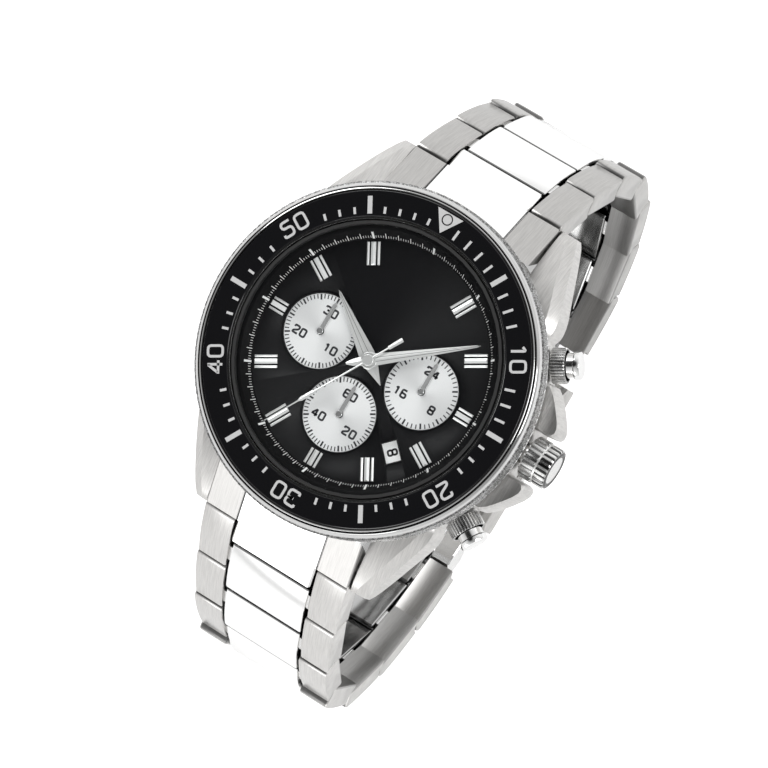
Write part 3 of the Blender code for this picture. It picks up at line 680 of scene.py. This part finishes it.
class WATCH_OT_dial(bpy.types.Operator):
    """Sunray dial with its markers, flange, sub-dials and date"""

    bl_idname = "watch.dial"
    bl_label = "Dial"

    def execute(self, context):
        s = settings()
        bright = polished("marker_steel", s.bright, 0.2, 0.45)
        white = plain("print_white", (0.85, 0.85, 0.84), 0.5)
        dark = plain("print_dark", (0.03, 0.03, 0.035), 0.5)
        plate = solid("dial_plate", *lathe([(16.0, -2.9), (16.0, -2.5)], 192, False),
                      sunray("dial_sunray", s.black, (0.02, 0.02, 0.021)), 30.0, HEAD)
        holes = [shift(lathe([(SUB_HOLE, -3.5), (SUB_HOLE, -2.0)], 96, False), *at) for at in SUBS.values()]
        holes.append(turned(block(10.27, 12.93, -0.98, 0.98, -3.5, -2.0), DATE_SWING))
        pierce(plate, joined(*holes))
        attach(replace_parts(plate, "dial"), "head")
        bars, sides = [], []
        for hour in range(1, 12):
            start = MARKER_START_BY_SUB if str(hour) in SUBS else MARKER_START
            swing = 90 - 30 * hour
            bars.append(turned(roof(start, MARKER_END, 0.3, 0.0, 0.2, 0.34), swing))
            for y in (0.68, -0.68):
                sides.append(turned(shift(roof(start, MARKER_END, 0.15, 0.0, 0.16, 0.27), y=y), swing))
        markers = solid("hour_markers", *joined(*bars, *sides), bright, 12.0, HEAD + MARKER_FOOT)
        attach(markers, "head")

        flange = lathe([(15.12, -2.48), (15.2, -2.42), (16.15, -1.1), (16.3, -0.99), (17.1, -0.99),
                        (17.1, -2.48)], 256)
        black = plain("flange_black", (0.004, 0.004, 0.0045), 0.5, sheen=0.1)
        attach(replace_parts(solid("flange", *flange, black, 40.0, HEAD), "flange_ring"), "head")

        def rise(r):
            """Height just above the flange's sloping face at a radius."""
            return -2.42 + (r - 15.2) / 0.95 * 1.32 + 0.03

        ticks = []
        for k in range(300):
            major = k % 5 == 0
            a, b, w = (15.25, 15.75, 0.045) if major else (15.3, 15.52, 0.03)
            if k % 25 == 0:
                a, b, w = 15.22, 15.9, 0.14
            quad = [(-w, a, rise(a)), (w, a, rise(a)), (w, b, rise(b)), (-w, b, rise(b))]
            ticks.append(turned((quad, [[0, 1, 2, 3]]), -360.0 * k / 300))
        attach(solid("flange_scale", *joined(*ticks), white, 30.0, HEAD), "head")

        discs = ringed("subdial_silver", s.silver)
        scales = {"3": ((("24", 0), ("16", 240), ("8", 120)), 48),
                  "6": ((("60", 0), ("40", 240), ("20", 120)), 60),
                  "9": ((("30", 0), ("20", 240), ("10", 120)), 60)}
        for label, (cx, cy) in SUBS.items():
            paint(f"subdial_{label}", discs)
            numerals, count = scales[label]
            shapes = []
            for k in range(count):
                w, start = (0.11, 3.9) if k % (count // 12) == 0 else (0.065, 4.05)
                shapes.append(turned(block(-w, w, start, 4.6, 0.0, 0.015), -360.0 * k / count))
            for text, angle in numerals:
                x, y = 2.65 * sin(radians(angle)), 2.65 * cos(radians(angle))
                shapes.append(shift(number(text, 0.95, 0.015, 0.42, 1.55, 1.1), x, y))
            scale = shift(joined(*shapes), cx, cy)
            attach(solid(f"subdial_scale_{label}", *scale, dark, 30.0, HEAD + SUB_FACE), "head")
            rim = shift(lathe([(4.7, 0.0), (4.86, 0.0), (4.82, 0.07), (4.74, 0.07)], 96), cx, cy)
            edging = plain(f"rim_dark_{label}", (0.01, 0.01, 0.011), 0.4)
            made = solid(f"subdial_rim_{label}", *rim, edging, 30.0, HEAD + DIAL_FACE)
            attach(made, "head")

        paint("date_wheel", plain("date_white", (1.0, 1.0, 0.99), 0.55, swing=0.01))
        dates = []
        for day in range(1, 32):
            label = shift(turned(number(str(day), 1.15, 0.02, 0.34, 1.4, 0.9), 90), y=DATE_AT)
            dates.append(turned(label, -135.0 - 360.0 * (day - SHOWN_DAY) / 31))
        ink = plain("date_black", (0.02, 0.02, 0.02), 0.5)
        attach(solid("date_numerals", *joined(*dates), ink, 30.0, HEAD + DATE_FACE), "date")
        x0, x1, w, rim = DATE_AT - DATE_LONG, DATE_AT + DATE_LONG, DATE_WIDE, DATE_RIM
        edge = [(x0, -w), (x1, -w), (x1, w), (x0, w)]
        wide = [(x0 - rim, -w - rim), (x1 + rim, -w - rim), (x1 + rim, w + rim), (x0 - rim, w + rim)]
        # Painted light: white walls round the date window brighten it in place of light on the shaded date
        # disc.
        painted_light_walls = plain("well_painted_light", (0.95, 0.95, 0.94), 0.5)
        well = [[(*edge[k], -0.42), (*edge[k], -0.02), (*wide[k], -0.02), (*wide[k], -0.42)]
                for k in range(4)]
        made = solid("date_well", *turned(loft(well, True), DATE_SWING), painted_light_walls, 30.0, HEAD + DIAL_FACE)
        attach(made, "head")
        border = plain("frame_dark", (0.02, 0.02, 0.02), 0.3)
        rows = [[(*edge[k], -0.02), (*edge[k], 0.02), (*wide[k], 0.04), (*wide[k], 0.0)] for k in range(4)]
        made = solid("date_frame", *turned(loft(rows, True), DATE_SWING), border, 30.0, HEAD + DIAL_FACE)
        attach(made, "head")
        return {"FINISHED"}


def ridged_hand(stations, z, thick, ridge):
    """A hand along +Y from (y, half width) stations, folded to a ridge along its middle."""
    rows = []
    for y, w in stations:
        top = z + thick
        lift = ridge * min(1.0, w / 0.5)
        rows.append([(-w, y, z), (w, y, z), (w, y, top - 0.05), (0.0, y, top + lift), (-w, y, top - 0.05)])
    return loft(rows)


def hub(r, z0, z1):
    """A round boss about a hand's arbor, with its top edge eased."""
    return lathe([(r, z0), (r, z1 - 0.05), (r - 0.08, z1)], 48, False)


class WATCH_OT_hands(bpy.types.Operator):
    """Hour, minute and chronograph hands, and the three small hands"""

    bl_idname = "watch.hands"
    bl_label = "Hands"

    def execute(self, context):
        silver = (0.8, 0.8, 0.79)
        bright = polished("hand_steel", silver, 0.24, 0.4)
        hour = joined(ridged_hand([(-3.4, 0.03), (-0.4, 0.92), (0.9, 1.02), (9.3, 0.16), (9.7, 0.02)],
                                  -2.1, 0.12, 0.12), hub(1.12, -2.1, -1.93), hub(1.02, -3.6, -2.05))
        minute = joined(ridged_hand([(-2.9, 0.14), (-2.0, 0.42), (-0.8, 0.6), (0.9, 0.76), (13.7, 0.14),
                                     (14.2, 0.02)], -1.72, 0.12, 0.1),
                        hub(1.05, -1.72, -1.56), hub(0.62, -3.6, -1.65))
        chrono = joined(ridged_hand([(-5.0, 0.26), (-4.9, 0.28), (-3.0, 0.24), (-2.9, 0.1), (7.4, 0.1),
                                     (8.0, 0.26), (9.6, 0.26), (10.1, 0.09), (15.0, 0.05)],
                                    -1.35, 0.09, 0.04),
                        hub(0.72, -1.35, -1.13), hub(0.27, -3.6, -1.3))
        # Half widths at the base and the tip, and the length, of each hand that has lines along it
        lined = {"hour": (1.02, 0.16, 9.3), "minute": (0.76, 0.14, 13.7)}
        hands = (("hour", hour, 304.5), ("minute", minute, 52.9), ("chrono", chrono, 210.2))
        for name, shape, angle in hands:
            metal = bright
            if name in lined:
                metal = hand_steel(f"{name}_hand_steel", silver, angle, *lined[name])
            made = solid(f"{name}_blade", *turned(shape, -angle), metal, 16.0, HEAD)
            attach(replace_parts(made, f"{name}_hand"), name)
        grey = polished("small_hand_steel", (0.5, 0.5, 0.5), 0.22, 0.6)
        for label, at in SUBS.items():
            small = joined(ridged_hand([(-0.3, 0.24), (0.0, 0.26), (3.6, 0.24), (4.05, 0.05)],
                                       -2.45, 0.08, 0.05), hub(0.42, -2.45, -2.28))
            made = solid(f"small_blade_{label}", *shift(small, *at), grey, 16.0, HEAD)
            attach(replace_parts(made, f"subhand_{label}"), f"sub_hand_{label}")
        return {"FINISHED"}


class WATCH_OT_crystal(bpy.types.Operator):
    """Clear crystal and its gasket"""

    bl_idname = "watch.crystal"
    bl_label = "Crystal"

    def execute(self, context):
        rows = [(16.7, -0.9), (16.7, 0.0), (16.55, 0.18), (16.2, 0.24)]
        rows += [(16.2 - 15.7 * k / 12, 0.24 + 0.18 * sin(pi / 2 * k / 12)) for k in range(1, 13)]
        glass = solid("crystal_dome", *lathe(rows, 192, False), clear_glass("crystal_clear"), 30.0, HEAD)
        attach(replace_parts(glass, "crystal"), "head")
        paint("crystal_gasket", plain("gasket_black", (0.02, 0.02, 0.02), 0.6))
        paint("back_gasket", plain("back_gasket_black", (0.02, 0.02, 0.02), 0.6))
        return {"FINISHED"}


def radial(shape, angle):
    """Lay a shape turned about Z out along a radius at the stem's height."""
    return shift(turned(turned(shape, 90, "Y"), angle), z=STEM_Z)


class WATCH_OT_controls(bpy.types.Operator):
    """Crown, stem, push buttons and their knurled collars"""

    bl_idname = "watch.controls"
    bl_label = "Crown and pushers"

    def execute(self, context):
        s = settings()
        steel = grip_steel("crown_steel", (0.84, 0.84, 0.835), 0.0, 2.6, STEM_Z)
        rows = [(1.7, 22.1), (2.6, 22.12), (2.8, 22.3), (2.8, 23.9), (2.64, 24.02), (2.58, 24.2),
                (2.72, 24.3), (2.72, 25.6), (2.55, 25.8), (2.2, 25.9), (2.1, 25.84), (1.7, 25.8)]

        def flute(row, step):
            return 0.3 if row in (3, 4, 7, 8) and step % 6 in (0, 1, 2) else 0.0

        crown = solid("crown_head", *radial(lathe(rows, 144, False, flute), 0.0), steel, 25.0, HEAD)
        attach(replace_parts(crown, "crown"), "crown")
        knob = polished("pusher_steel", s.bright, 0.12)
        for label, angle in (("2", 30.0), ("4", -30.0)):
            cap = [(0.8, 16.6), (0.8, 23.4), (1.5, 23.4), (1.6, 23.5), (1.6, 24.6), (1.72, 24.68),
                   (1.8, 24.78), (1.8, 25.25), (1.72, 25.42), (1.5, 25.52), (1.1, 25.55)]
            made = solid(f"pusher_cap_{label}", *radial(lathe(cap, 96, False), angle), knob, 30.0, HEAD)
            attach(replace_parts(made, f"pusher_{label}"), f"pusher_{label}")
            rows = [(1.1, 21.8), (2.05, 21.8), (2.25, 21.95), (2.25, 23.55), (2.15, 23.7), (1.92, 23.7),
                    (1.92, 22.7), (1.1, 22.7)]

            def ridge(row, step):
                return 0.22 if row in (2, 3) and step % 4 in (0, 1) else 0.0

            grip = grip_steel(f"grip_steel_{label}", (0.66, 0.66, 0.655), angle, 2.14, STEM_Z)
            collar = radial(lathe(rows, 136, True, ridge), angle)
            made = solid(f"collar_grip_{label}", *collar, grip, 25.0, HEAD)
            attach(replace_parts(made, f"pusher_collar_{label}"), f"collar_{label}")
            paint(f"pusher_spring_{label}", brushed(f"spring_wire_{label}", s.steel))
        paint("stem", brushed("stem_steel", s.steel))
        paint("crown_tube", brushed("tube_steel", s.steel))
        return {"FINISHED"}


def arc(cu, cv, r, start, stop, steps):
    """Points round a centre, from one angle in degrees to another."""
    angles = [radians(start + (stop - start) * k / steps) for k in range(steps + 1)]
    return [(cu + r * cos(a), cv + r * sin(a)) for a in angles]


def link_side(camber=0.25):
    """Side view of an outer piece: a round end at its own pin, a hollow at the next, a gently domed top."""
    ease, end = 0.7, ROUND - 0.1
    reach = ROUND + SEAM
    hollow = arc(LINK_PITCH, 0, reach, 180 + 36, 180 - 36, 8)
    front = hollow[-1][0] - 0.18
    first = -end + ease
    top = []
    for k in range(11):
        u = front + (first - front) * k / 10
        t = 2 * k / 10 - 1
        top.append((u, HALF_T - camber * t * t))
    low = HALF_T - camber - ease
    back = arc(first, low, ease, 90, 180, 5)[1:] + arc(first, -HALF_T + ease, ease, 180, 270, 4)
    return hollow + top + back + [(hollow[0][0] - 0.15, -HALF_T)]


def eased_bar(profile, x0, x1, slope=0.0):
    """A side view made solid from x0 to x1 with rounded side edges; slope narrows x1 along the link."""
    us, vs = [p[0] for p in profile], [p[1] for p in profile]
    cu, cv, wu, wv = (max(us) + min(us)) / 2, (max(vs) + min(vs)) / 2, max(us) - min(us), max(vs) - min(vs)
    way = 1 if x1 > x0 else -1
    rows = []
    for x, inset, lean in ((x0, 0.24, 0), (x0 + way * 0.07, 0.07, 0), (x0 + way * 0.24, 0.0, 0),
                           (x1 - way * 0.24, 0.0, slope), (x1 - way * 0.07, 0.07, slope), (x1, 0.24, slope)):
        su, sv = 1 - 2 * inset / wu, 1 - 2 * inset / wv
        rows.append([(x - way * lean * u, cu + (u - cu) * su, cv + (v - cv) * sv) for u, v in profile])
    return loft(rows)


def placed(shape, pin, direction, side):
    """Put a shape drawn in link axes (x, along, outward) on its pin."""
    c, s = cos(radians(direction)), sin(radians(direction))
    return [(x, pin[0] + side * (u * c + v * s), pin[1] - u * s + v * c) for x, u, v in shape[0]], shape[1]


def pins_of(label):
    side, leans = LEANS[label]
    y, z = FIRST_PIN
    pins = []
    for lean in leans:
        pins.append((side * y, z))
        y += LINK_PITCH * cos(radians(lean))
        z -= LINK_PITCH * sin(radians(lean))
    return pins


class WATCH_OT_bracelet(bpy.types.Operator):
    """The bracelet's links: satin outer pieces and a polished, domed middle"""

    bl_idname = "watch.bracelet"
    bl_label = "Bracelet"

    def execute(self, context):
        s = settings()
        outer = link_side()
        inner = [(LINK_PITCH - u, v) for u, v in link_side(0.32)]
        bright = [min(1.0, v * 1.1) for v in s.bright]
        for label, (side, leans) in LEANS.items():
            # Painted shade and light: the brushed pieces are painted darker on the 12 o'clock side and
            # lighter on the 6 o'clock side.
            tone = [v * (0.8 if label == "12" else 1.02) for v in s.steel]
            count = len(leans)
            narrow = (LINK_W_HEAD - LINK_W_CLASP) / count / 2
            slope = narrow / LINK_PITCH
            for k, (lean, pin) in enumerate(zip(leans, pins_of(label))):
                half = LINK_W_HEAD / 2 - narrow * k
                centre, ahead = [(CENTRE_W - (CENTRE_W - CENTRE_W_CLASP) * n / count) / 2 for n in (k, k + 1)]
                shape = joined(*[eased_bar(outer, way * (centre + GROOVE), way * half, slope)
                                 for way in (1, -1)], eased_bar(inner, -ahead + GROOVE, ahead - GROOVE),
                               block(-half + 1.2, half - 1.2, 3.25, 5.75, -1.25, 1.25))
                metal = link_steel(f"link_steel_{label}_{k + 1}", tone, bright, pin, lean, side, half, slope,
                                   (k + 0.5) / count)
                made = solid(f"link_body_{label}_{k + 1}", *placed(shape, pin, lean, side), metal, 32.0, HEAD)
                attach(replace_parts(made, f"link_{label}_{k + 1}"), f"link_{label}_{k + 1}")
        return {"FINISHED"}


class WATCH_OT_clasp(bpy.types.Operator):
    """Fold-over clasp with its blades and buttons"""

    bl_idname = "watch.clasp"
    bl_label = "Clasp"

    def execute(self, context):
        s = settings()
        paint("clasp_cover", brushed("cover_steel", s.steel, rough=0.32))
        paint("blade_fold", polished("fold_steel", s.bright, 0.18))
        paint("blade_end", polished("blade_steel", s.bright, 0.16))
        for side in ("left", "right"):
            paint(f"clasp_button_{side}", polished(f"button_steel_{side}", s.bright, 0.12))
        return {"FINISHED"}


class WATCH_OT_movement(bpy.types.Operator):
    """Finish of the pieces inside the case"""

    bl_idname = "watch.movement"
    bl_label = "Movement"

    def execute(self, context):
        s = settings()
        brass = (0.72, 0.56, 0.28)
        for node in ("main_plate", "train_bridge", "clutch"):
            paint(node, brushed(f"{node}_brass", brass, rough=0.34))
        paint("movement_ring", plain("holder_plastic", (0.75, 0.75, 0.72), 0.5))
        paint("circuit_board", plain("board_green", (0.02, 0.14, 0.07), 0.4, fine=1.5))
        paint("battery", brushed("battery_steel", s.steel, rough=0.28))
        paint("coil_block", plain("coil_copper", (0.7, 0.32, 0.14), 0.35, metal=0.9, fine=9.0))
        paint("stepper_motor", brushed("motor_steel", s.steel))
        return {"FINISHED"}


class WATCH_OT_stage(bpy.types.Operator):
    """White ground, soft lights and the camera"""

    bl_idname = "watch.stage"
    bl_label = "Stage"

    def lamp(self, name, size, power, place, aim):
        data = bpy.data.lights.new(name, "AREA")
        data.shape = "RECTANGLE"
        data.size, data.size_y = size[0] * MM, size[1] * MM
        data.energy = power
        obj = bpy.data.objects.new(name, data)
        obj.location = Vector(place) * MM
        obj.rotation_euler = (Vector(aim) - Vector(place)).to_track_quat("-Z", "Y").to_euler()
        bpy.context.scene.collection.objects.link(obj)
        return obj

    def show_white(self, tree):
        """Let the ground read as white to the camera, and paler than it is in metal, with its shadow kept."""
        path = tree.nodes.new("ShaderNodeLightPath")
        camera, glossy, through = [Wire(tree, path.outputs[name]) for name in (
            "Is Camera Ray", "Is Glossy Ray", "Is Transmission Ray")]
        glow = tree.nodes.new("ShaderNodeEmission")
        both = tree.nodes.new("ShaderNodeAddShader")
        plug(tree, glow.inputs["Strength"], (camera + through).clamped() * 0.66 + glossy * 0.3)
        tree.links.new(tree.nodes["Principled BSDF"].outputs[0], both.inputs[0])
        tree.links.new(glow.outputs[0], both.inputs[1])
        tree.links.new(both.outputs[0], tree.nodes["Material Output"].inputs["Surface"])

    def execute(self, context):
        s = settings()
        scene = bpy.context.scene
        scene.view_settings.view_transform = "Standard"
        floor = Look("ground_white")
        x, y, z = floor.mm()
        paper = floor.noise(floor.vector(x * 0.2, y * 0.2, z), 1.0, 2.0)
        floor.finish(Base_Color=floor.mix(paper, (0.74, 0.74, 0.74), (0.77, 0.77, 0.77)), Roughness=0.9,
                     Specular_IOR_Level=0.0)
        self.show_white(floor.tree)
        far, low = 3000, -0.2
        corners = [(-far, -far, low), (far, -far, low), (far, far, low), (-far, far, low)]
        ground = solid("ground", corners, [[0, 1, 2, 3]], floor.mat)
        lamps = [
            self.lamp("top_left", (360, 420), 2.0, (-520, 300, 420), (0, 0, 45)),
            self.lamp("top_right", (300, 500), 1.6, (480, 160, 380), (0, 0, 45)),
            self.lamp("front", (500, 240), 0.62, (40, -520, 260), (0, 0, 40)),
        ]

        world = bpy.data.worlds.new("studio")
        world.use_nodes = True
        scene.world = world
        tree = world.node_tree
        tree.nodes.clear()
        where = tree.nodes.new("ShaderNodeTexCoord")
        split = tree.nodes.new("ShaderNodeSeparateXYZ")
        tree.links.new(where.outputs["Generated"], split.inputs[0])
        x, y, z = [Wire(tree, out) for out in split.outputs]
        facing = x * -0.28 + y * 0.03 + z * 0.96
        overhead = ((facing - 0.88) * 14.0).clamped()
        sides = abs(y) ** 1.5
        dark_band = (((x * 5.0 + 0.6).cosine() * 0.5 + 0.5) ** 6.0) * (1.0 - abs(y)) * 0.25
        level = (sides * 1.05 + 0.42 - dark_band) * (1.0 - overhead * 0.9)
        seen = tree.nodes.new("ShaderNodeLightPath")
        direct = Wire(tree, seen.outputs["Is Camera Ray"])
        back = tree.nodes.new("ShaderNodeBackground")
        plug(tree, back.inputs["Strength"], level + (1.0 - level) * direct)
        out = tree.nodes.new("ShaderNodeOutputWorld")
        tree.links.new(back.outputs[0], out.inputs[0])

        across, ahead, roll = radians(16.25), radians(1.89), radians(30.63)
        off_right, off_down = 3.549, 1.485
        look = Vector((sin(across) * cos(ahead), sin(ahead), cos(across) * cos(ahead)))
        right = Vector((0, 1, 0)).cross(look).normalized()
        up = look.cross(right)
        place = Vector((0, 0, HEAD)) + look * s.view_distance + right * off_right - up * off_down
        screen_x = right * cos(roll) + up * sin(roll)
        screen_y = -right * sin(roll) + up * cos(roll)
        data = bpy.data.cameras.new("camera")
        data.lens = 198.2
        data.sensor_width = 36.0
        data.clip_start = 0.01
        camera = bpy.data.objects.new("camera", data)
        turn = Matrix((screen_x, screen_y, look)).transposed().to_4x4()
        camera.matrix_world = Matrix.Translation(place * MM) @ turn
        scene.collection.objects.link(camera)
        scene.camera = camera
        return {"FINISHED"}


STEPS = ("case", "bezel", "dial", "hands", "crystal", "controls", "bracelet", "clasp", "movement", "stage")


class WATCH_PT_panel(bpy.types.Panel):
    """Sidebar panel with the settings and a button for each step"""

    bl_idname = "WATCH_PT_panel"
    bl_label = "Chronograph Wristwatch"
    bl_space_type = "VIEW_3D"
    bl_region_type = "UI"
    bl_category = "Watch"

    def draw(self, context):
        for name in WatchSettings.__annotations__:
            self.layout.prop(context.scene.watch_settings, name)
        for step in STEPS:
            self.layout.operator(f"watch.{step}")


CLASSES = (WatchSettings, WATCH_OT_case, WATCH_OT_bezel, WATCH_OT_dial, WATCH_OT_hands, WATCH_OT_crystal,
           WATCH_OT_controls, WATCH_OT_bracelet, WATCH_OT_clasp, WATCH_OT_movement, WATCH_OT_stage,
           WATCH_PT_panel)


def register():
    for cls in CLASSES:
        bpy.utils.register_class(cls)
    bpy.types.Scene.watch_settings = PointerProperty(type=WatchSettings)


def unregister():
    del bpy.types.Scene.watch_settings
    for cls in reversed(CLASSES):
        bpy.utils.unregister_class(cls)


def main():
    register()
    for step in STEPS:
        getattr(bpy.ops.watch, step)()


if __name__ == "__main__":
    main()
